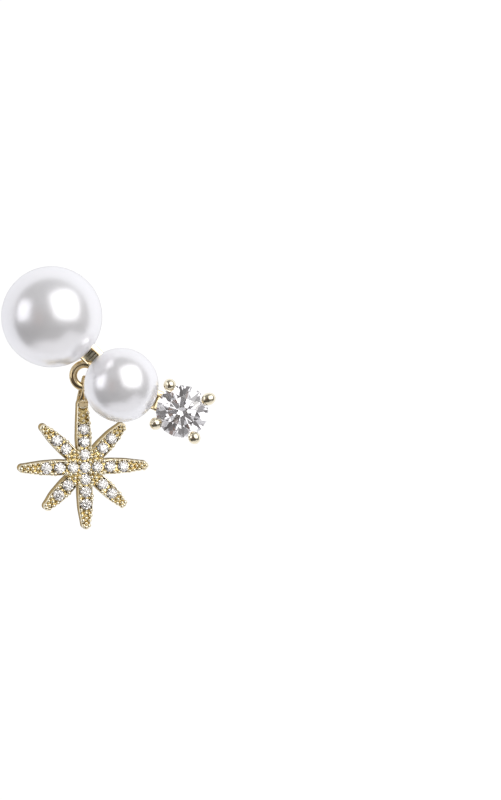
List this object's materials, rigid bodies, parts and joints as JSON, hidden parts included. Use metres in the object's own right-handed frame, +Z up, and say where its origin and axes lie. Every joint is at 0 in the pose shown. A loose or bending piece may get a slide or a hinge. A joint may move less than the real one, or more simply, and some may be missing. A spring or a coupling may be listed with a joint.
{
  "type": "ear climber earring",
  "caption": "Ear climber with pearls and a claw-set clear stone on a soldered bar, and a stone-set star that hangs free from a fixed ring; a plain post goes through the ear.",
  "frame": {"origin": "root of the ear post, on the rear face behind the large pearl, where the earring sits on the lobe", "axes": "+Z up as worn and as pictured, +X right as seen from the front, +Y back along the ear post, so the front faces -Y"},
  "size_m": [0.0211, 0.0217, 0.0261],
  "materials": {
    "gold": "polished pale yellow gold plating",
    "star_gold": "polished yellow gold plating, cast with grains",
    "pearl": "white pearl lustre coat, glossy",
    "clear_stone": "clear cut stone, polished facets"
  },
  "bodies": {
    "climber": {"climber_frame": "gold", "pearl_large": "pearl", "pearl_small": "pearl", "main_stone": "clear_stone"},
    "star": {"star_drop": "star_gold", "star_stone_01": "clear_stone", "star_stone_02": "clear_stone", "star_stone_03": "clear_stone", "star_stone_04": "clear_stone", "star_stone_05": "clear_stone", "star_stone_06": "clear_stone", "star_stone_07": "clear_stone", "star_stone_08": "clear_stone", "star_stone_09": "clear_stone", "star_stone_10": "clear_stone", "star_stone_11": "clear_stone", "star_stone_12": "clear_stone", "star_stone_13": "clear_stone", "star_stone_14": "clear_stone", "star_stone_15": "clear_stone", "star_stone_16": "clear_stone", "star_stone_17": "clear_stone", "star_stone_18": "clear_stone", "star_stone_19": "clear_stone", "star_stone_20": "clear_stone", "star_stone_21": "clear_stone"}
  },
  "joints": [
    {"name": "star_swing", "type": "hinge", "parent": "climber", "child": "star", "pos_m": [0.00318, -0.0009, -0.0058], "axis": [0, 1, 0], "range_deg": [-18, 45]}
  ]
}
